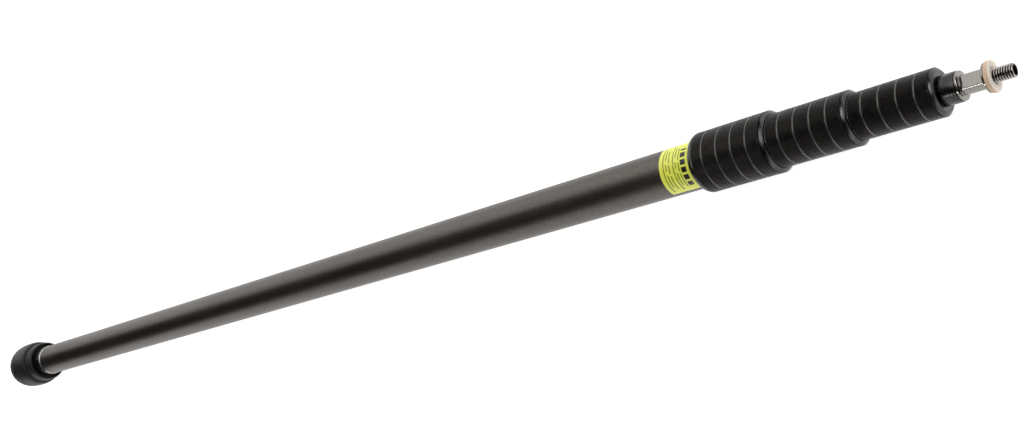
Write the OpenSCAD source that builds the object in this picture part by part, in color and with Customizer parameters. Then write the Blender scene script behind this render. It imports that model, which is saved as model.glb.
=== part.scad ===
// Telescoping boom pole: four tubes, three screw-down locking collars, a rubber
// butt bumper and a 3/8 inch microphone stud. The pole lies along +X with its
// butt face at the origin and is drawn collapsed. Every round part is turned
// about the X axis.

/* [Tubes] */
// Outside diameter of the outer tube
tube_od = 34.9; // [32:0.1:38]
// Loss of outside diameter from each tube to the next
tube_step = 6; // [5.8:0.1:6.4]
// Wall thickness of every tube
tube_wall = 1.2; // [1:0.1:1.4]
// Rear end of the second tube when collapsed
inner_rear = 100; // [98:1:130]
// Step from one inner tube's rear end to the next one's
inner_stagger = 4; // [2:1:8]
// Length of the plastic guide bush on each inner tube
bush_length = 60; // [40:1:80]

/* [Locking collars] */
// Rear end of the first collar's knurl, behind which its shoulder begins
collar_start = 1100.7; // [900:0.1:1200]
// Length of one collar, with the gap to the next
collar_repeat = 60.45; // [60.2:0.05:64]
// How much shorter the third collar is than the other two
last_trim = 1.3; // [0:0.1:1.4]
// Height of a collar's knurl above its tube
collar_height = 4.5; // [4:0.05:5]
// Distance from a collar's rear end to its first groove
first_groove = 10.2; // [9:0.1:11]
// Distance between grooves
groove_pitch = 12.2; // [11:0.1:12.4]
// Depth of a groove
groove_depth = 0.6; // [0.5:0.1:1.4]
// Extra length of the first collar's rounded rear shoulder
shoulder_length = 3.4; // [2:0.1:6]
// Radius of that shoulder's round edge
shoulder_radius = 4; // [2:0.1:4.2]

/* [Tip] */
// Radius of the end ring on the thinnest tube
ring_radius = 9.9; // [9.6:0.05:10.5]
// Length of the end ring
ring_length = 10.6; // [8:0.1:14]
// Radius of the two steel flanges
flange_radius = 9.6; // [9:0.05:10]
// Thickness of each flange
flange_thickness = 1.5; // [1:0.1:2.5]
// Length of the steel neck between the flanges
neck_length = 15.4; // [10:0.1:20]
// Radius of the neck
neck_radius = 6.5; // [6:0.1:7]
// Width across the spanner flats of the neck
flat_width = 10.4; // [9.5:0.1:11]
// Thickness of the leather washer
washer_thickness = 3.2; // [2:0.1:4]
// Radius of the leather washer
washer_radius = 10.2; // [9:0.1:11]
// Length of stud that stands out of the washer
stud_length = 12.4; // [8:0.1:14]
// Major diameter of the stud's thread
stud_diameter = 9.525; // [9.525]

/* [Butt] */
// Largest radius of the rubber bumper
bumper_radius = 27.3; // [26:0.1:31]
// Radius of the flat end of the bumper
butt_face_radius = 20; // [15:0.5:22]
// Length of the large part of the bumper
bumper_length = 44; // [40:1:50]
// Radius of the bumper's front part
mouth_radius = 23.8; // [23.6:0.1:26]
// Radius of the recess around the tube
recess_radius = 21.6; // [20.5:0.1:22]
// Depth of the recess around the tube
recess_depth = 6; // [4:0.5:8]
// Front end of the bumper
mouth_front = 60; // [58:0.5:66]
// Rear end of the outer tube
outer_rear = 73.9; // [72:0.1:78]

/* [Sticker] */
// Length of the sticker along the tube
label_length = 25.5; // [20:0.5:40]
// Clear tube between the sticker and the first collar
label_gap = 1.5; // [1:0.1:10]
// Angle that the sticker wraps
label_wrap = 183; // [90:1:270]

/* [Hidden] */
$fn = 96;

glue = 0.05;
running = 0.2;
end_gap = 0.3;
tube_front_in_collar = 38;
collar_length = collar_repeat - end_gap;
ring_start = collar_front(3) + end_gap;
ring_end = ring_start + ring_length;
flange_1_x = ring_end + 0.1;
neck_x = flange_1_x + flange_thickness;
flange_2_x = neck_x + neck_length;
washer_x = flange_2_x + flange_thickness;
stud_x = washer_x + washer_thickness;
stud_end = stud_x + stud_length;
stud_radius = stud_diameter / 2;
shank_radius = 4.2;
tail_radius = 5.8;
insert_length = 30;
stud_root = neck_x - 26;
flat_angle = 12;
grub_angle = -48;
gap_angle = -41;
insert_radius = tube_radius(1) - tube_wall - glue;
insert_bore = 11;
insert_end = 96;
ring_seat_x = outer_rear - 2;
plug_end = 88;

function tube_radius(k) = tube_od / 2 - (k - 1) * tube_step / 2;
function bore_radius(k) = tube_radius(k) - tube_wall;
function collar_rear(k) = collar_start + (k - 1) * collar_repeat;
function collar_front(k) = collar_rear(k) + collar_length - (k == 3 ? last_trim : 0);
function collar_radius(k) = tube_radius(k) + collar_height;
function tube_front(k) = collar_rear(k) + tube_front_in_collar;
function tube_rear(k) = inner_rear + (k - 2) * inner_stagger;

// Turns a profile of [x, radius] points about the X axis.
module turned(profile) {
    rotate([0, 90, 0])
        rotate_extrude()
            polygon([for (p = profile) [p[1], p[0]]]);
}

module pipe(x0, x1, r_in, r_out) {
    turned([[x0, r_in], [x0, r_out], [x1, r_out], [x1, r_in]]);
}

// Turns its children, which face +Z, to an angle measured from +Z towards +Y.
module facing(angle) {
    rotate([-angle, 0, 0])
        children();
}

// Quarter of a round edge, from [x, r] outwards, as profile points.
function round_edge(x, r, edge, from, to) =
    [for (i = [0:6]) let (t = from + (to - from) * i / 6) [x + edge * cos(t), r + edge * sin(t)]];

// ---- tubes ----

module tube(k, x0, x1) {
    color("#3a3734")
        pipe(x0, x1, bore_radius(k), tube_radius(k));
}

module outer_tube() {
    tube(1, outer_rear, tube_front(1));
}

module section_2_tube() {
    tube(2, tube_rear(2), tube_front(2));
}

module section_3_tube() {
    tube(3, tube_rear(3), tube_front(3));
}

module section_4_tube() {
    tube(4, tube_rear(4), ring_end - 1.2);
}

// ---- locking collars ----

function groove_points(x, r) = [[x - groove_depth, r], [x, r - groove_depth], [x + groove_depth, r]];

module collar(k, shoulder, rear_round) {
    knurl_x = collar_rear(k);
    x0 = knurl_x - shoulder;
    x1 = collar_front(k);
    r = collar_radius(k);
    t = tube_radius(k);
    next = tube_radius(k + 1);
    rear = rear_round > 1
        ? round_edge(x0 + rear_round, r - rear_round, rear_round, 180, 90)
        : [[x0, r - rear_round], [x0 + rear_round, r]];
    grooves = [for (i = [0:3], p = groove_points(knurl_x + first_groove + i * groove_pitch, r)) p];
    nose = [[x1 - 2.2, r], [x1 - 1.7, r - 0.4], [x1 - 0.4, r - 1.9], [x1, r - 2.6]];
    bore = [
        [x1, next + 0.35], [x1 - 2.4, next + 0.35], [x1 - 2.4, next + 2.15],
        [x1 - 5, next + 2.15], [x1 - 5, next + 2.05], [x1 - 6.5, next + 2.05],
        [x1 - 19, t + 1.15], [x1 - 20.5, t + 2.35], [knurl_x + 7, t + 2.35],
        [knurl_x + 7, t + 0.35], [x0, t + 0.35]
    ];
    color("#1d1c1b")
        turned(concat(rear, grooves, nose, bore));
}

module collar_1() {
    collar(1, shoulder_length, shoulder_radius);
}

module collar_2() {
    collar(2, 0, 0.8);
}

module collar_3() {
    collar(3, 0, 0.8);
}

// Threaded sleeve bonded on the front of a tube.
module ferrule(k) {
    x0 = collar_rear(k) + 8;
    x1 = tube_front(k);
    r = tube_radius(k);
    thread = [for (i = [0:7]) each [[x0 + 8 + i * 2.4, r + 2.1], [x0 + 9.2 + i * 2.4, r + 1.4]]];
    color("#8f8d88")
        turned(concat([[x0, r + glue], [x0, r + 2.1]], thread, [[x1, r + 2.1], [x1, r + glue]]));
}

module ferrule_1() {
    ferrule(1);
}

module ferrule_2() {
    ferrule(2);
}

module ferrule_3() {
    ferrule(3);
}

// Split collet: fingers inside the tube, tapered head in front of it.
module collet(k) {
    x0 = collar_rear(k) + 14;
    x1 = tube_front(k) + 0.2;
    x2 = collar_front(k) - 7.4;
    r_in = tube_radius(k + 1) + running;
    t = tube_radius(k);
    color("#d8d2c4")
        difference() {
            turned([
                [x0, r_in], [x0, bore_radius(k) - glue], [x1, bore_radius(k) - glue], [x1, t + 0.6],
                [x1 + 2.2, t + 0.6], [x2, tube_radius(k + 1) + 1.75], [x2, r_in]
            ]);
            for (i = [0:3])
                facing(45 + 90 * i)
                    translate([x0 + 12, -0.75, 0])
                        cube([x2 - x0, 1.5, t + 2]);
        }
}

module collet_1() {
    collet(1);
}

module collet_2() {
    collet(2);
}

module collet_3() {
    collet(3);
}

// Soft ring in the nose of a collar that wipes the next tube.
module wiper_ring(k) {
    x1 = collar_front(k) - 2.5;
    r = tube_radius(k + 1);
    color("#2b2a29")
        turned([
            [x1 - 2.3, r + 0.6], [x1 - 2.3, r + 2.1], [x1, r + 2.1],
            [x1, r + 0.15], [x1 - 0.6, r + 0.15]
        ]);
}

module wiper_ring_1() {
    wiper_ring(1);
}

module wiper_ring_2() {
    wiper_ring(2);
}

module wiper_ring_3() {
    wiper_ring(3);
}

// Bush on the rear of tube k that runs in the bore of the tube around it.
module guide_bush(k) {
    x0 = tube_rear(k);
    x1 = x0 + bush_length;
    r = bore_radius(k - 1) - running;
    color("#e6e1d3")
        turned([
            [x0, tube_radius(k) + glue], [x0, r - 0.4], [x0 + 1, r], [x0 + 8, r], [x0 + 9, r - 0.5],
            [x1 - 9, r - 0.5], [x1 - 8, r], [x1 - 1, r], [x1, r - 0.4], [x1, tube_radius(k) + glue]
        ]);
}

module guide_bush_2() {
    guide_bush(2);
}

module guide_bush_3() {
    guide_bush(3);
}

module guide_bush_4() {
    guide_bush(4);
}

// ---- tip ----

// Plug bonded in the thinnest tube; the spigot and the stud screw into it.
module tip_insert() {
    color("#a8a6a1")
        pipe(ring_end - insert_length, ring_end - 0.1, tail_radius + glue, bore_radius(4) - glue);
}

module tip_ring() {
    x0 = ring_start;
    color("#222120")
        difference() {
            turned([
                [x0, tube_radius(4) + glue], [x0, ring_radius - 0.6], [x0 + 0.6, ring_radius],
                [ring_end - 0.6, ring_radius], [ring_end, ring_radius - 0.6], [ring_end, bore_radius(4)],
                [ring_end - 1, bore_radius(4)], [ring_end - 1, tube_radius(4) + glue]
            ]);
            facing(grub_angle)
                translate([x0 + 4.5, 0, tube_radius(4) - 1])
                    cylinder(r = 1.05, h = 4);
        }
}

module tip_grub_screw() {
    color("#6c6a66")
        facing(grub_angle)
            translate([ring_start + 4.5, 0, tube_radius(4) + glue])
                difference() {
                    cylinder(r = 1, h = 0.9);
                    translate([0, 0, 0.4])
                        cylinder(r = 0.5, h = 1);
                }
}

module tip_spigot() {
    edge = 0.3;
    color("#b9b4aa")
        difference() {
            turned([
                [stud_root, shank_radius + glue], [stud_root, tail_radius], [flange_1_x, tail_radius],
                [flange_1_x, flange_radius - edge], [flange_1_x + edge, flange_radius],
                [neck_x - edge, flange_radius], [neck_x, flange_radius - edge], [neck_x, neck_radius],
                [flange_2_x, neck_radius], [flange_2_x, flange_radius - edge],
                [flange_2_x + edge, flange_radius], [washer_x - edge, flange_radius],
                [washer_x, flange_radius - edge], [washer_x, shank_radius + glue]
            ]);
            for (side = [0, 180])
                facing(flat_angle + side)
                    translate([neck_x + 1.2, -flange_radius, flat_width / 2])
                        cube([neck_length - 2.4, 2 * flange_radius, 3]);
        }
}

// Threaded stud, drawn at its major diameter; the relief under the washer is thinner.
module tip_stud() {
    chamfer = 0.7;
    color("#c9c5bb")
        turned([
            [stud_root, 0], [stud_root, shank_radius], [stud_x, shank_radius], [stud_x, stud_radius],
            [stud_end - chamfer, stud_radius], [stud_end, stud_radius - chamfer], [stud_end, 0]
        ]);
}

module tip_washer() {
    x0 = washer_x + 0.02;
    r = washer_radius;
    color("#ecd9bf")
        turned([
            [x0, 5], [x0, r - 0.5], [x0 + 0.5, r], [stud_x - 0.7, r], [stud_x, r - 0.6], [stud_x, 5]
        ]);
}

// ---- butt ----

// End fitting bonded in the outer tube, with a sleeve as wide as the tube.
module butt_insert() {
    x0 = mouth_front - recess_depth + 0.3;
    r = tube_radius(1);
    color("#3b332e")
        difference() {
            turned([
                [x0, insert_bore], [x0, r], [ring_seat_x, r], [ring_seat_x, insert_radius],
                [insert_end, insert_radius], [insert_end, insert_bore]
            ]);
            butt_pin_shapes(0.65);
        }
}

// Split steel ring between the sleeve and the tube, open where the two pins sit.
module butt_snap_ring() {
    gap = 22;
    color("#e2e0da")
        rotate([0, 90, 0])
            rotate([0, 0, 180 - gap_angle + gap / 2])
                rotate_extrude(angle = 360 - gap)
                    translate([insert_radius + 0.1, ring_seat_x + 0.1])
                        square([tube_radius(1) - insert_radius + 0.15, outer_rear - ring_seat_x - 0.2]);
}

module butt_pin_shapes(r) {
    for (side = [-1, 1])
        facing(gap_angle + side * 5.5)
            translate([ring_seat_x - 1.2 * side - 1.6, 0, tube_radius(1) - 2])
                cylinder(r = r, h = 2.05);
}

module butt_pins() {
    color("#14110f")
        butt_pin_shapes(0.6);
}

// Plug that the bumper is moulded on; its spigot screws into the insert.
module butt_plug() {
    color("#55524e")
        turned([
            [8, 0], [8, 15.5], [mouth_front - recess_depth - 4, 15.5],
            [mouth_front - recess_depth - 4, insert_bore - 0.3],
            [plug_end - 1, insert_bore - 0.3], [plug_end, insert_bore - 1.3], [plug_end, 0]
        ]);
}

module butt_damper() {
    color("#20201f")
        pipe(plug_end + glue, plug_end + 4, 3, insert_bore - 1);
}

module butt_bumper() {
    notch_radius = mouth_radius - 1.4;
    floor_x = mouth_front - recess_depth;
    plug_gap = 0.05;
    rear_round = [for (i = [0:8]) let (t = 180 - 90 * i / 8)
        [24 + 24 * cos(t), butt_face_radius + (bumper_radius - butt_face_radius) * sin(t)]];
    front_slope = [for (i = [0:4]) [bumper_length - 12 + 11 * i / 4, bumper_radius - 1.4 * i * i / 16]];
    color("#343331")
        turned(concat(
            [[0, 0]], rear_round, front_slope,
            [[bumper_length, notch_radius], [bumper_length + 1.5, notch_radius],
             [bumper_length + 2.5, mouth_radius], [mouth_front - 5, mouth_radius],
             [mouth_front - 1.5, recess_radius + 1.3], [mouth_front, recess_radius + 0.5],
             [mouth_front, recess_radius], [floor_x, recess_radius - 0.6],
             [floor_x, insert_bore], [floor_x - 4 + plug_gap, insert_bore],
             [floor_x - 4 + plug_gap, 15.5 + plug_gap], [8 - plug_gap, 15.5 + plug_gap],
             [8 - plug_gap, 0]]
        ));
}

// ---- sticker ----

module label() {
    x1 = collar_start - shoulder_length - label_gap;
    color("#e8ea5c")
        rotate([0, 90, 0])
            rotate([0, 0, 70])
                rotate_extrude(angle = label_wrap)
                    translate([tube_radius(1) + 0.01, x1 - label_length])
                        square([0.14, label_length]);
}

outer_tube();
section_2_tube();
section_3_tube();
section_4_tube();
collar_1();
collar_2();
collar_3();
ferrule_1();
ferrule_2();
ferrule_3();
collet_1();
collet_2();
collet_3();
wiper_ring_1();
wiper_ring_2();
wiper_ring_3();
guide_bush_2();
guide_bush_3();
guide_bush_4();
tip_insert();
tip_ring();
tip_grub_screw();
tip_spigot();
tip_stud();
tip_washer();
butt_insert();
butt_snap_ring();
butt_pins();
butt_plug();
butt_bumper();
butt_damper();
label();
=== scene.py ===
import math

import bmesh
import bpy
from mathutils import Matrix, Vector


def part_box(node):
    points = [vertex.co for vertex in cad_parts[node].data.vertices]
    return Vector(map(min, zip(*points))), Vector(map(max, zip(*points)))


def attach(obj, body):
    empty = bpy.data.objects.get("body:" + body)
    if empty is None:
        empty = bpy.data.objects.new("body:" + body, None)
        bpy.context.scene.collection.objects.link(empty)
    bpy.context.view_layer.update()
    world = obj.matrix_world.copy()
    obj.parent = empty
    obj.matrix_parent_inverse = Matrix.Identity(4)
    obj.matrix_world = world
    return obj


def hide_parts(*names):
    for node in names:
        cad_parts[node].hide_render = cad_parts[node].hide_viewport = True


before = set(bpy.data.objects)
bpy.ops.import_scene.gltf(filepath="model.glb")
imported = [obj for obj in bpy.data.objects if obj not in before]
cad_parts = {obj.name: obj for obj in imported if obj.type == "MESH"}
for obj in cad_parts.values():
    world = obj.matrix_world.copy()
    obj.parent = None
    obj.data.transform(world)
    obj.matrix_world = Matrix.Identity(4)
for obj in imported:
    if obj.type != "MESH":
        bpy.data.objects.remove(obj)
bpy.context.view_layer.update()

MM = 0.001
SEGMENTS = 144  # steps round a turned piece
SMOOTH_ANGLE = math.radians(32)

# ---------------------------------------------------------------- places, from the frame


def span(node):
    """First x, last x and largest radius of a turned CAD node."""
    low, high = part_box(node)
    return low.x, high.x, max(high.y, high.z, -low.y, -low.z)


GROOVE_PITCH = 12.2 * MM
GROOVES = 4
GROOVE_DEPTH = 0.55 * MM
GROOVE_HALF = 0.42 * MM
FIRST_GROOVE = 10.2 * MM  # from the rear of a collar's knurl
SHOULDER_LENGTH = 3.4 * MM  # of the first collar, behind its knurl
NOSE_LENGTH = 3.0 * MM
KNURL_WIDTH = 1.3 * MM
KNURL_DEPTH = 0.34 * MM
TUBE_WALL = 1.2 * MM
THREAD_PITCH = 25.4 * MM / 16
THREAD_DEPTH = 1.05 * MM
FLAT_TURN = 12.0  # degrees from +Z towards +Y
GAP_TURN = -41.0
SNAP_GAP = 22.0

# ---------------------------------------------------------------- mesh helpers


def make_object(name, verts, faces, smooth=True, angle=SMOOTH_ANGLE):
    mesh = bpy.data.meshes.new(name)
    mesh.from_pydata(verts, [], faces)
    mesh.update()
    obj = bpy.data.objects.new(name, mesh)
    bpy.context.scene.collection.objects.link(obj)
    if smooth:
        mesh.polygons.foreach_set("use_smooth", [True] * len(mesh.polygons))
        mesh.set_sharp_from_angle(angle=angle)
    return obj


def finish_piece(obj, body, slot, materials, *nodes):
    for mat in materials:
        obj.data.materials.append(mat)
    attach(obj, body)
    if nodes:
        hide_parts(*nodes)
    return obj


def around(x, radius, turn):
    """Point at a turn, in radians from +Z towards +Y, round the X axis."""
    return (x, radius * math.sin(turn), radius * math.cos(turn))


def grid_faces(rows, columns, wrap, closed=True):
    """Quads between rows of points; closed joins the last point of a row to its first."""
    faces = []
    last = columns if closed else columns - 1
    for j in range(rows if wrap else rows - 1):
        j2 = (j + 1) % rows
        for i in range(last):
            i2 = (i + 1) % columns
            faces.append((j * columns + i, j * columns + i2, j2 * columns + i2, j2 * columns + i))
    return faces


def lathe(name, profile, segments=SEGMENTS, wrap=False, angle=SMOOTH_ANGLE):
    """Turns a profile of (x, radius) points about the X axis. wrap closes the profile on itself."""
    verts = []
    for x, r in profile:
        verts += [around(x, r, 2 * math.pi * i / segments) for i in range(segments)]
    faces = grid_faces(len(profile), segments, wrap)
    if not wrap:
        faces.append(tuple(range(segments)))
        faces.append(tuple(reversed([(len(profile) - 1) * segments + i for i in range(segments)])))
    obj = make_object(name, verts, faces, angle=angle)
    return orient(obj)


def orient(obj):
    """Makes every face look outwards."""
    bm = bmesh.new()
    bm.from_mesh(obj.data)
    bmesh.ops.recalc_face_normals(bm, faces=bm.faces)
    bm.to_mesh(obj.data)
    bm.free()
    return obj


def arc(cx, cr, rx, rr, start, end, steps):
    """Points of an elliptical arc in a profile; angles in degrees, 0 along +x, 90 outwards."""
    points = []
    for i in range(steps + 1):
        t = math.radians(start + (end - start) * i / steps)
        points.append((cx + rx * math.cos(t), cr + rr * math.sin(t)))
    return points


def tube_profile(x0, x1, radius, wall, bevel=0.25 * MM):
    return [
        (x0, radius - wall), (x0, radius - bevel), (x0 + bevel, radius),
        (x1 - bevel, radius), (x1, radius - bevel), (x1, radius - wall),
    ]


# ---------------------------------------------------------------- materials


class Nodes:
    """A material's node tree with short names for what every material here uses."""

    def __init__(self, name):
        self.mat = bpy.data.materials.new(name)
        self.mat.use_nodes = True
        self.tree = self.mat.node_tree
        self.shader = self.tree.nodes["Principled BSDF"]
        self.coords = self.tree.nodes.new("ShaderNodeTexCoord").outputs["Object"]

    def add(self, kind, **sockets):
        node = self.tree.nodes.new(kind)
        for key, value in sockets.items():
            node.inputs[key.replace("_", " ")].default_value = value
        return node

    def link(self, out, into):
        self.tree.links.new(out, into)

    def stretched(self, scale):
        mapping = self.add("ShaderNodeMapping")
        mapping.inputs["Scale"].default_value = scale
        self.link(self.coords, mapping.inputs["Vector"])
        return mapping.outputs["Vector"]

    def noise(self, scale, detail=4.0, rough=0.55, stretch=(1, 1, 1)):
        node = self.add("ShaderNodeTexNoise", Scale=scale, Detail=detail, Roughness=rough)
        self.link(self.stretched(stretch), node.inputs["Vector"])
        return node.outputs["Fac"]

    def ramp(self, fac, stops):
        node = self.add("ShaderNodeValToRGB")
        ramp = node.color_ramp
        while len(ramp.elements) < len(stops):
            ramp.elements.new(0.5)
        for element, (place, colour) in zip(ramp.elements, stops):
            element.position = place
            element.color = (*colour, 1) if len(colour) == 3 else colour
        self.link(fac, node.inputs["Fac"])
        return node.outputs["Color"]

    def spread(self, fac, low, high, start=0.3, end=0.7):
        """Maps a 0 to 1 value onto low to high."""
        node = self.add("ShaderNodeMapRange")
        for key, value in (("From Min", start), ("From Max", end), ("To Min", low), ("To Max", high)):
            node.inputs[key].default_value = value
        self.link(fac, node.inputs["Value"])
        return node.outputs["Result"]

    def mix(self, fac, a, b):
        node = self.tree.nodes.new("ShaderNodeMix")
        node.data_type = "RGBA"
        factor, first, second = node.inputs[0], node.inputs[6], node.inputs[7]  # its colour sockets
        self.link(fac, factor)
        self.link(a, first)
        self.link(b, second)
        return node.outputs[2]

    def bump(self, height, strength, distance):
        node = self.add("ShaderNodeBump", Strength=strength, Distance=distance)
        self.link(height, node.inputs["Height"])
        self.link(node.outputs["Normal"], self.shader.inputs["Normal"])

    def base(self, colour):
        self.link(colour, self.shader.inputs["Base Color"])

    def rough(self, value):
        self.link(value, self.shader.inputs["Roughness"])

    def set(self, **sockets):
        for key, value in sockets.items():
            self.shader.inputs[key.replace("_", " ")].default_value = value


def grey(v, warm=0.0):
    return (v * (1 + warm), v, v * (1 - warm))


def anodised(name, tone, low, high, warm=0.03):
    """Dark anodised tube: fine mottled surface, faint lengthwise scuffs."""
    n = Nodes(name)
    n.set(Metallic=1.0)
    mottle = n.noise(420, 5, 0.6)
    scuff = n.noise(60, 6, 0.7, (0.12, 1.6, 1.6))
    n.base(n.ramp(mottle, [(0.3, grey(tone * 0.85, warm)), (0.7, grey(tone * 1.15, warm))]))
    n.rough(n.spread(scuff, low, high))
    n.bump(n.noise(1500, 3, 0.6), 0.12, 0.00005)
    return n.mat


def knurled(name, tone, crest):
    """Black anodised knurl whose crests are painted brighter: a painted highlight standing in for the
    knurl's sparkle.
    """
    n = Nodes(name)
    n.set(Metallic=1.0)
    geometry = n.tree.nodes.new("ShaderNodeNewGeometry")
    # Pointy crests get the brighter colour: painted highlight (sparkle), not wear.
    painted_sparkle_mask = n.spread(geometry.outputs["Pointiness"], 0.0, 1.0, 0.50, 0.62)
    dark = n.ramp(n.noise(300, 4), [(0.3, grey(tone * 0.7, 0.09)), (0.7, grey(tone * 1.2, 0.09))])
    bright = n.ramp(n.noise(500, 3), [(0.3, grey(crest * 0.6, 0.07)), (0.7, grey(crest * 1.3, 0.07))])
    n.base(n.mix(painted_sparkle_mask, dark, bright))
    n.rough(n.spread(n.noise(200, 4), 0.26, 0.40))
    return n.mat


def smooth_black(name, tone, low=0.16, high=0.30, metal=0.7):
    """Turned and anodised ring: fine turning lines round the axis."""
    n = Nodes(name)
    n.set(Metallic=metal, Specular_IOR_Level=0.5)
    n.base(n.ramp(n.noise(260, 4), [(0.3, grey(tone * 0.8, 0.02)), (0.7, grey(tone * 1.25, 0.02))]))
    n.rough(n.spread(n.noise(120, 5), low, high))
    n.bump(n.noise(3000, 2, 0.5, (1, 0.02, 0.02)), 0.05, 0.00004)
    return n.mat


def steel(name, colour, low, high, turned=0.12):
    """Turned steel with lathe lines round the axis and faint smears."""
    n = Nodes(name)
    n.set(Metallic=1.0)
    shade = tuple(c * 0.94 for c in colour)
    n.base(n.ramp(n.noise(180, 5), [(0.3, shade), (0.7, colour)]))
    n.rough(n.spread(n.noise(90, 5, 0.65), low, high))
    n.bump(n.noise(2600, 2, 0.5, (1, 0.02, 0.02)), turned, 0.00005)
    return n.mat


def rubber(name, tone, low=0.42, high=0.6):
    """Moulded rubber: fine grain, a few dusty marks."""
    n = Nodes(name)
    n.set(Specular_IOR_Level=0.36)
    n.base(n.ramp(n.noise(140, 6, 0.6), [(0.3, grey(tone * 0.8, 0.08)), (0.72, grey(tone * 1.3, 0.08))]))
    n.rough(n.spread(n.noise(60, 5), low, high))
    n.bump(n.noise(1100, 4, 0.6), 0.22, 0.0001)
    return n.mat


def leather(name):
    """Undyed hide washer: pale pressed faces, darker cut edge with fibres."""
    n = Nodes(name)
    n.set(Specular_IOR_Level=0.35)
    n.set(Sheen_Weight=0.15)
    fibres = n.noise(900, 6, 0.7, (4.0, 1, 1))
    tans = [(0.25, (0.56, 0.36, 0.23)), (0.5, (0.74, 0.53, 0.36)), (0.75, (0.86, 0.68, 0.50))]
    n.base(n.ramp(fibres, tans))
    n.rough(n.spread(n.noise(300, 4), 0.55, 0.8))
    n.bump(fibres, 0.35, 0.0002)
    return n.mat


def hide_face(name):
    """Pressed face of the leather washer."""
    n = Nodes(name)
    n.set(Specular_IOR_Level=0.35)
    n.set(Sheen_Weight=0.1)
    grain = n.noise(1400, 5, 0.6)
    n.base(n.ramp(grain, [(0.3, (0.86, 0.74, 0.60)), (0.7, (0.95, 0.87, 0.76))]))
    n.rough(n.spread(n.noise(300, 4), 0.5, 0.75))
    n.bump(grain, 0.25, 0.0001)
    return n.mat


def vinyl(name, colour, low=0.28, high=0.42):
    n = Nodes(name)
    n.set(Specular_IOR_Level=0.5)
    shade = tuple(c * 0.93 for c in colour)
    n.base(n.ramp(n.noise(90, 4), [(0.3, shade), (0.7, colour)]))
    n.rough(n.spread(n.noise(200, 4), low, high))
    n.bump(n.noise(220, 3), 0.06, 0.0001)
    return n.mat


def acetal(name, colour):
    n = Nodes(name)
    n.set(Specular_IOR_Level=0.5, Subsurface_Weight=0.05)
    shade = tuple(c * 0.92 for c in colour)
    n.base(n.ramp(n.noise(120, 4), [(0.3, shade), (0.7, colour)]))
    n.rough(n.spread(n.noise(80, 4), 0.35, 0.5))
    n.bump(n.noise(2200, 2, 0.5, (1, 0.05, 0.05)), 0.1, 0.00005)
    return n.mat


TUBE = anodised("tube_anodised", 0.100, 0.36, 0.46, 0.10)
KNURL = knurled("collar_knurl", 0.016, 0.11)
GROOVE = smooth_black("collar_groove", 0.20, 0.34, 0.46, 1.0)
NOSE = smooth_black("collar_nose", 0.07, 0.20, 0.32, 1.0)
RING = smooth_black("tip_ring_black", 0.05, 0.22, 0.34, 1.0)
STEEL = steel("spigot_steel", (0.26, 0.248, 0.23), 0.16, 0.28)
STUD = steel("stud_steel", (0.48, 0.46, 0.43), 0.14, 0.26, 0.03)
# Near-black steel for the thread roots: painted shade in the thread's valleys.
STUD_ROOT_SHADE = steel("stud_root_painted_shade", (0.075, 0.07, 0.064), 0.28, 0.42, 0.03)
BLUED = steel("grub_screw_steel", (0.28, 0.27, 0.26), 0.3, 0.45)
SPRING = steel("snap_ring_steel", (0.80, 0.79, 0.77), 0.30, 0.42, 0.05)
PIN = steel("pin_steel", (0.03, 0.027, 0.024), 0.35, 0.5, 0.05)
MACHINED = steel("machined_aluminium", (0.60, 0.59, 0.57), 0.24, 0.38)
SLEEVE = smooth_black("butt_sleeve", 0.12, 0.30, 0.42, 1.0)
RUBBER = rubber("bumper_rubber", 0.012)
SOFT = rubber("wiper_rubber", 0.025)
HIDE_EDGE = leather("washer_edge")
HIDE_FACE = hide_face("washer_face")
YELLOW = vinyl("sticker_yellow", (0.93, 0.96, 0.12))
INK = vinyl("sticker_ink", (0.012, 0.014, 0.008))
INK_FINE = vinyl("sticker_ink_fine", (0.24, 0.27, 0.03))
ACETAL = acetal("acetal", (0.72, 0.68, 0.58))
BUSH = acetal("bush_acetal", (0.78, 0.75, 0.66))


def paint(node, material):
    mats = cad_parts[node].data.materials
    mats.clear()
    mats.append(material)


def paint_hidden_pieces():
    for k in (1, 2, 3):
        paint(f"ferrule_{k}", MACHINED)
        paint(f"collet_{k}", ACETAL)
        paint(f"wiper_ring_{k}", SOFT)
        paint(f"guide_bush_{k + 1}", BUSH)
    for node, material in (
        ("tip_insert", MACHINED), ("butt_plug", MACHINED), ("butt_damper", SOFT),
        ("butt_pins", PIN), ("tip_grub_screw", BLUED),
    ):
        paint(node, material)


# ---------------------------------------------------------------- the pole


def build_tubes():
    for node, body in (
        ("outer_tube", "outer_section"), ("section_2_tube", "section_2"),
        ("section_3_tube", "section_3"), ("section_4_tube", "section_4"),
    ):
        x0, x1, r = span(node)
        obj = lathe(node + "_skin", tube_profile(x0, x1, r, TUBE_WALL), 192, wrap=True)
        finish_piece(obj, body, "tube", [TUBE], node)


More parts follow.
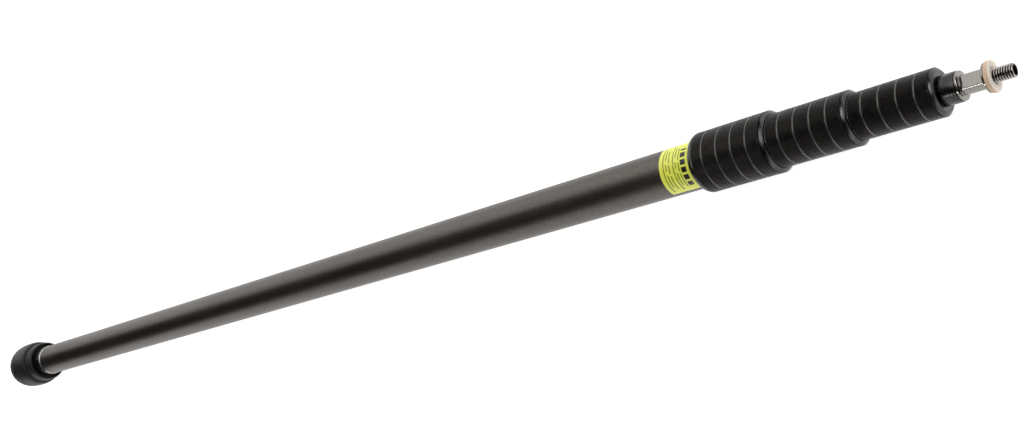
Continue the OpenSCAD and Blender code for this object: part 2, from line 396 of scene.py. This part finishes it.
def collar_rows(x0, x1, r, shoulder):
    """Rows of one collar as (x, radius, knurl depth, material) from its rear to its front hole."""
    edge = 0.2 * MM
    rows = []
    if shoulder:
        bend = 4.0 * MM
        rows += [(x, rr, 0, 2) for x, rr in arc(x0 + bend, r - bend, bend, bend, 180, 90, 10)]
        start = x0 + bend + 0.6 * MM
        rows += [(start - 0.5 * MM, r, 0, 2), (start, r - edge, 0, 1)]
    else:
        start = x0 + 0.5 * MM
        rows += [(x0, r - 0.8 * MM, 0, 2), (x0 + 0.2 * MM, r - edge, 0, 2)]
    first = x0 + FIRST_GROOVE + (SHOULDER_LENGTH if shoulder else 0)
    half = GROOVE_HALF
    step = KNURL_WIDTH / 2
    for g in range(GROOVES + 1):
        end = first + g * GROOVE_PITCH - half if g < GROOVES else x1 - NOSE_LENGTH
        count = max(2, round((end - start - 2 * edge) / step))
        for i in range(count + 1):
            x = start + edge + (end - start - 2 * edge) * i / count
            rows.append((x, r, KNURL_DEPTH, 0))
        rows.append((end, r - edge, 0, 0))
        if g < GROOVES:
            middle = first + g * GROOVE_PITCH
            rows.append((end + 0.1 * MM, r - edge - 0.05 * MM, 0, 1))
            rows.append((middle - 0.12 * MM, r - GROOVE_DEPTH, 0, 1))
            rows.append((middle + 0.12 * MM, r - GROOVE_DEPTH, 0, 1))
            start = middle + half
            rows.append((start - 0.1 * MM, r - edge - 0.05 * MM, 0, 1))
            rows.append((start, r - edge, 0, 0))
    return rows


def collar(k, body):
    node = f"collar_{k}"
    x0, x1, r = span(node)
    tube_r = span("outer_tube" if k == 1 else f"section_{k}_tube")[2]
    next_r = span(f"section_{k + 1}_tube")[2]
    rows = [(x0 + 2 * MM, tube_r + 0.35 * MM, 0, 2), (x0, tube_r + 0.35 * MM, 0, 2)]
    rows += collar_rows(x0, x1, r, k == 1)
    rows += [(x1 - a * MM, r - 0.75 * MM, 0, 0) for a in (2.85, 2.5)]
    nose = [(2.35, 0.2), (2.1, 0.05), (1.7, 0.35), (1.1, 1.0), (0.4, 1.9), (0.12, 2.35), (0.0, 2.6)]
    rows += [(x1 - a * MM, r - b * MM, 0, 2) for a, b in nose]
    hole = next_r + 0.35 * MM
    rows += [(x1, hole + 0.3 * MM, 0, 2), (x1 - 0.2 * MM, hole, 0, 2), (x1 - 2.3 * MM, hole, 0, 2)]
    columns = 2 * round(math.pi * r / KNURL_WIDTH)
    verts, faces, slots = [], [], []
    for j, (x, rad, depth, _) in enumerate(rows):
        for i in range(columns):
            low = depth if (i + j) % 2 else 0
            verts.append(around(x, rad - low, 2 * math.pi * i / columns))
    for j in range(len(rows) - 1):
        both = rows[j][2] > 0 or rows[j + 1][2] > 0
        tag = max(rows[j][3], rows[j + 1][3])
        for i in range(columns):
            i2 = (i + 1) % columns
            a, b = j * columns + i, j * columns + i2
            c, d = (j + 1) * columns + i2, (j + 1) * columns + i
            if not both:
                new = [(a, b, c, d)]
            elif (i + j) % 2:
                new = [(a, b, c), (a, c, d)]
            else:
                new = [(a, b, d), (b, c, d)]
            faces += new
            slots += [tag] * len(new)
    obj = make_object(f"collar_{k}_knurl", verts, faces, angle=math.radians(20))
    obj.data.polygons.foreach_set("material_index", slots)
    orient(obj)
    finish_piece(obj, body, "collar", [KNURL, GROOVE, NOSE], node)


def build_collars():
    for k in (1, 2, 3):
        collar(k, f"lock_collar_{k}")


def build_bumper():
    x0, x1, r = span("butt_bumper")
    face = 20 * MM
    big_end = x0 + 44 * MM
    neck = 22.4 * MM
    lip = 23.8 * MM
    recess = 21.6 * MM
    floor = x1 - 6 * MM
    sleeve = span("outer_tube")[2]
    profile = [(x0, 2 * MM), (x0, face - 1 * MM)]
    profile += arc(x0 + 24 * MM, face, 24 * MM, r - face, 180, 90, 28)
    slope = 11 * MM
    drop = 1.4 * MM
    slope_x = big_end - slope - 1 * MM
    profile += [(slope_x + slope * i / 12, r - drop * (i / 12) ** 2) for i in range(13)]
    edge = big_end - 1 * MM
    profile += [(edge + 0.4 * MM, r - drop - 0.35 * MM), (edge + 0.6 * MM, neck + 0.9 * MM)]
    profile += [(edge + 0.8 * MM, neck + 0.25 * MM), (big_end + 0.1 * MM, neck), (big_end + 1.4 * MM, neck)]
    profile += [(big_end + 1.7 * MM, neck + 0.3 * MM), (big_end + 2.2 * MM, lip - 0.3 * MM)]
    profile += [(big_end + 2.7 * MM, lip)]
    profile += [(x1 - 5.2 * MM, lip), (x1 - 4.4 * MM, lip - 0.15 * MM)]
    profile += arc(x1 - 3.2 * MM, recess + 0.3 * MM, 3.2 * MM, lip - recess - 0.5 * MM, 90, 8, 10)
    profile += [(x1, recess + 0.15 * MM), (x1 - 0.4 * MM, recess), (floor + 0.5 * MM, recess - 0.5 * MM)]
    profile += [(floor, recess - 1.2 * MM), (floor, sleeve - 4 * MM)]
    obj = lathe("butt_bumper_rubber", profile, angle=math.radians(50))
    finish_piece(obj, "butt_cap", "bumper", [RUBBER], "butt_bumper")


def build_butt_fitting():
    x0, x1, _ = span("butt_insert")
    r = span("outer_tube")[2]
    seat = span("butt_snap_ring")[0] - 0.1 * MM
    inner = r - TUBE_WALL - 0.05 * MM
    bore = 11 * MM
    profile = [(x0, bore), (x0, r - 0.3 * MM), (x0 + 0.3 * MM, r), (seat - 0.15 * MM, r)]
    profile += [(seat, r - 0.15 * MM), (seat, inner), (x1, inner), (x1, bore)]
    obj = lathe("butt_sleeve", profile, 192, wrap=True)
    finish_piece(obj, "outer_section", "sleeve", [SLEEVE], "butt_insert")

    s0, s1, s_r = span("butt_snap_ring")
    bevel = 0.25 * MM
    section = [(s0, inner + 0.1 * MM), (s0, s_r - bevel), (s0 + bevel, s_r), (s1 - bevel, s_r),
               (s1, s_r - bevel), (s1, inner + 0.1 * MM)]
    steps = 150
    start = math.radians(GAP_TURN + SNAP_GAP / 2)
    sweep = math.radians(360 - SNAP_GAP)
    verts = []
    for j in range(steps + 1):
        verts += [around(x, rr, start + sweep * j / steps) for x, rr in section]
    faces = grid_faces(steps + 1, len(section), wrap=False)
    faces.append(tuple(range(len(section))))
    faces.append(tuple(reversed([steps * len(section) + i for i in range(len(section))])))
    obj = orient(make_object("snap_ring_wire", verts, faces))
    finish_piece(obj, "outer_section", "snap_ring", [SPRING], "butt_snap_ring")


def build_tip():
    x0, x1, r = span("tip_ring")
    tube_r = span("section_4_tube")[2]
    bevel = 0.45 * MM
    profile = [(x0, tube_r + 0.05 * MM)] + arc(x0 + bevel, r - bevel, bevel, bevel, 180, 90, 5)
    profile += arc(x1 - bevel, r - bevel, bevel, bevel, 90, 0, 5) + [(x1, 6.6 * MM), (x1 - 1 * MM, 6.6 * MM)]
    profile += [(x1 - 1 * MM, tube_r + 0.05 * MM)]
    obj = lathe("tip_ring_turned", profile, wrap=True)
    finish_piece(obj, "section_4", "ring", [RING], "tip_ring")
    build_spigot()
    build_stud()
    build_washer()


def build_spigot():
    """Steel spigot: two flanges and a neck with two milled flats."""
    _, x1, r = span("tip_spigot")
    thick, neck_len, neck_r = 1.5 * MM, 15.4 * MM, 6.5 * MM
    flange_2 = x1 - thick
    neck = flange_2 - neck_len
    flange_1 = neck - thick
    bevel = 0.3 * MM
    bore = 4.25 * MM
    flat = 5.2 * MM
    fillet = 0.5 * MM
    profile = [(flange_1, bore), (flange_1, r - bevel), (flange_1 + bevel, r), (neck - bevel, r)]
    profile += [(neck, r - bevel), (neck, neck_r + fillet)]
    profile += arc(neck + fillet, neck_r + fillet, fillet, fillet, 180, 270, 4)[1:]
    run = 1.2 * MM
    mills = [neck + run, neck + run + 0.02 * MM, flange_2 - run - 0.02 * MM, flange_2 - run]
    profile += [(x, neck_r) for x in mills]
    profile += arc(flange_2 - fillet, neck_r + fillet, fillet, fillet, 270, 360, 4)
    profile += [(flange_2, r - bevel), (flange_2 + bevel, r), (x1 - bevel, r), (x1, r - bevel), (x1, bore)]
    segments = 288
    verts = []
    turn = math.radians(FLAT_TURN)
    for x, rad in profile:
        milled = mills[0] + 1e-6 < x < mills[-1] - 1e-6 and abs(rad - neck_r) < 1e-6
        for i in range(segments):
            t = 2 * math.pi * i / segments
            reach = abs(math.cos(t - turn)) * rad
            rr = rad * flat / reach if milled and reach > flat else rad
            verts.append(around(x, rr, t))
    faces = grid_faces(len(profile), segments, wrap=True)
    obj = orient(make_object("spigot_turned", verts, faces, angle=math.radians(18)))
    finish_piece(obj, "section_4", "steel", [STEEL], "tip_spigot")


def build_stud():
    """Stud with its helical thread, crests at the CAD radius, chamfered end; painted shade darkens the
    thread roots.
    """
    x1, r = span("tip_stud")[1], span("tip_stud")[2]
    x0 = span("tip_washer")[1]
    per_turn = 72
    across = 12
    start = x0 - 1.2 * MM
    turns = (x1 - start) / THREAD_PITCH
    chamfer = 0.7 * MM
    root = r - THREAD_DEPTH
    steps = int(turns * across)
    verts = []
    for j in range(steps + 1):
        x = start + (x1 - start) * j / steps
        for i in range(per_turn):
            t = 2 * math.pi * i / per_turn
            phase = ((x - start) / THREAD_PITCH - i / per_turn) % 1.0
            ridge = 1 - abs(2 * phase - 1)
            height = min(1.0, max(0.0, (ridge - 0.08) / 0.82))
            rad = root + THREAD_DEPTH * height
            rad = min(rad, r - chamfer * max(0.0, 1 - (x1 - x) / chamfer))
            verts.append(around(x, rad, t))
    faces = grid_faces(steps + 1, per_turn, wrap=False)
    rim = [steps * per_turn + i for i in range(per_turn)]
    base = len(verts)
    rim_r = r - chamfer
    for depth, rad in ((0.0, rim_r - 0.45 * MM), (0.3 * MM, rim_r - 0.7 * MM), (5 * MM, rim_r - 0.8 * MM)):
        verts += [around(x1 - depth, rad, 2 * math.pi * i / per_turn) for i in range(per_turn)]
    for a, b in ((rim[0], base), (base, base + per_turn), (base + per_turn, base + 2 * per_turn)):
        for i in range(per_turn):
            i2 = (i + 1) % per_turn
            faces.append((a + i, a + i2, b + i2, b + i))
    faces.append(tuple(base + 2 * per_turn + i for i in range(per_turn)))
    faces.append(tuple(reversed(range(per_turn))))
    obj = orient(make_object("stud_thread", verts, faces, angle=math.radians(30)))
    # Faces deeper than half the thread depth get the dark steel: painted shade in the thread roots.
    painted_shade_below = r - 0.5 * THREAD_DEPTH
    tags = []
    for p in obj.data.polygons:
        low = math.hypot(p.center.y, p.center.z) < painted_shade_below
        tags.append(1 if low and p.center.x < x1 - 1e-6 else 0)
    obj.data.polygons.foreach_set("material_index", tags)
    finish_piece(obj, "section_4", "stud", [STUD, STUD_ROOT_SHADE], "tip_stud")


def build_washer():
    """Leather washer, slightly crowned and uneven, with a pressed front face."""
    x0, x1, r = span("tip_washer")
    hole = 5.0 * MM
    edge = 0.7 * MM
    profile = [(x0, hole)] + arc(x0 + edge, r - edge, edge, edge, 180, 90, 6)
    profile += arc(x1 - edge, r - edge, edge, edge, 90, 0, 6)
    profile += [(x1, r * 0.8), (x1, hole + 0.5 * MM), (x1 - 0.5 * MM, hole)]
    obj = lathe("washer_hide", profile, 120, wrap=True, angle=math.radians(60))
    mesh = obj.data
    for v in mesh.vertices:
        t = math.atan2(v.co.y, v.co.z)
        rad = math.hypot(v.co.y, v.co.z)
        if rad > r * 0.6:
            shrink = 1 - 0.006 * (1 + math.sin(3 * t + 0.7)) - 0.003 * (1 + math.sin(11 * t))
            v.co.y *= shrink
            v.co.z *= shrink
    face_from = x1 - 0.35 * MM
    tags = [1 if p.center.x > face_from else 0 for p in mesh.polygons]
    mesh.polygons.foreach_set("material_index", tags)
    finish_piece(obj, "section_4", "leather", [HIDE_EDGE, HIDE_FACE], "tip_washer")


# ---------------------------------------------------------------- sticker


def patch(name, x0, x1, turn0, turn1, radius, thick, corner, steps=48):
    """Thin curved sheet wrapped round the tube, with round corners."""
    rows = []
    for j in range(steps + 1):
        t = turn0 + (turn1 - turn0) * j / steps
        from_end = min(t - turn0, turn1 - t) * radius
        inset = 0.0
        if from_end < corner:
            inset = corner - math.sqrt(max(0.0, corner ** 2 - (corner - from_end) ** 2))
        rows.append((t, x0 + inset, x1 - inset))
    verts = []
    for t, a, b in rows:
        outer = radius + thick
        verts += [around(a, radius, t), around(a, outer, t), around(b, outer, t), around(b, radius, t)]
    faces = grid_faces(steps + 1, 4, wrap=False)
    faces += [(0, 1, 2, 3), tuple(steps * 4 + i for i in (3, 2, 1, 0))]
    return orient(make_object(name, verts, faces))


def build_label():
    low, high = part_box("label")
    x0, x1 = low.x, high.x
    tube_r = span("outer_tube")[2]
    turn0, turn1 = math.radians(-73), math.radians(110)
    sheet = patch("sticker_sheet", x0, x1, turn0, turn1, tube_r + 0.01 * MM, 0.12 * MM, 1.5 * MM, 72)
    finish_piece(sheet, "outer_section", "label", [YELLOW], "label")
    # Generic print: one row of solid blocks and rows of thin dashes, none of them lettering.
    height = x1 - x0
    sweep = turn1 - turn0
    blocks = [(0.10, 0.17), (0.20, 0.27), (0.30, 0.37), (0.40, 0.47), (0.50, 0.57), (0.60, 0.63)]
    rows = [(0.83, 0.085, blocks)]
    dashes = [(0.09, 0.30), (0.33, 0.44), (0.47, 0.66), (0.69, 0.86)]
    for n, across in enumerate((0.68, 0.58, 0.49, 0.35, 0.25, 0.15)):
        shift = 0.05 * math.sin(2.1 * n)
        cut = 4 if n % 3 else 3
        rows.append((across, 0.018, [(s + shift, e + shift * 0.4) for s, e in dashes[:cut]]))
    for n, (across, half, pieces) in enumerate(rows):
        ax = x0 + height * across
        for m, (s, e) in enumerate(pieces):
            bar = patch(
                f"sticker_bar_{n + 1}_{m + 1}", ax - height * half, ax + height * half,
                turn0 + sweep * s, turn0 + sweep * e, tube_r + 0.13 * MM, 0.015 * MM, 0.1 * MM, 12,
            )
            finish_piece(bar, "outer_section", "label", [INK if n == 0 else INK_FINE])


# ---------------------------------------------------------------- stage, light and camera

CAMERA_AT = Vector((1.61263, -0.14913, 0.74086))
CAMERA_AIM = Vector((0.90340, 0.00640, 0.0))
CAMERA_UP = Vector((0.21421, 0.97679, 0.0))
CAMERA_LENS = 44.79


def build_camera():
    data = bpy.data.cameras.new("camera")
    data.lens = CAMERA_LENS
    data.sensor_width = 36
    data.clip_start, data.clip_end = 0.01, 50
    cam = bpy.data.objects.new("camera", data)
    bpy.context.scene.collection.objects.link(cam)
    forward = (CAMERA_AIM - CAMERA_AT).normalized()
    right = forward.cross(CAMERA_UP).normalized()
    up = right.cross(forward)
    cam.matrix_world = Matrix((
        (right.x, up.x, -forward.x, CAMERA_AT.x),
        (right.y, up.y, -forward.y, CAMERA_AT.y),
        (right.z, up.z, -forward.z, CAMERA_AT.z),
        (0, 0, 0, 1),
    ))
    bpy.context.scene.camera = cam


def soft_box(name, at, aim, width, height, power):
    data = bpy.data.lights.new(name, "AREA")
    data.shape = "RECTANGLE"
    data.size, data.size_y = width, height
    data.energy = power
    obj = bpy.data.objects.new(name, data)
    bpy.context.scene.collection.objects.link(obj)
    obj.location = at
    obj.rotation_euler = (Vector(aim) - Vector(at)).to_track_quat("-Z", "Y").to_euler()
    return obj


def build_stage():
    floor_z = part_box("butt_bumper")[0].z
    half = 30.0
    verts = [(-half, -half, floor_z), (half, -half, floor_z), (half, half, floor_z), (-half, half, floor_z)]
    floor = make_object("floor", verts, [(0, 1, 2, 3)], smooth=False)
    n = Nodes("floor_white")
    n.set(Base_Color=(0.5, 0.5, 0.5, 1), Roughness=0.9, Specular_IOR_Level=0.0)
    n.set(Emission_Color=(1, 1, 1, 1), Emission_Strength=0.92)
    floor.data.materials.append(n.mat)

    world = bpy.data.worlds.new("studio")
    world.use_nodes = True
    world.node_tree.nodes["Background"].inputs["Color"].default_value = (1, 1, 1, 1)
    world.node_tree.nodes["Background"].inputs["Strength"].default_value = 0.03
    bpy.context.scene.world = world

    # Long boxes beside the pole, set back towards the butt, where its side reflects them.
    back = -1.3
    soft_box("box_up", (back, 1.56, 1.09), (back, 0, 0), 6.0, 2.2, 60)
    soft_box("box_down", (back, -1.61, 0.31), (back, 0, 0), 6.0, 0.95, 20)
    soft_box("box_tip", (2.9, 0.6, 0.8), (1.25, 0, 0), 1.0, 0.9, 10)
    soft_box("strip_tip", (0.68, -1.18, 0.92), (1.3, 0, 0), 0.3, 0.15, 1.6)
    soft_box("box_fill", (1.2, 0.3, 2.2), (0.9, 0, 0), 2.0, 0.8, 12)
    bpy.context.scene.view_settings.view_transform = "Standard"


build_camera()
build_tubes()
build_collars()
build_bumper()
build_butt_fitting()
build_tip()
build_label()
paint_hidden_pieces()
build_stage()
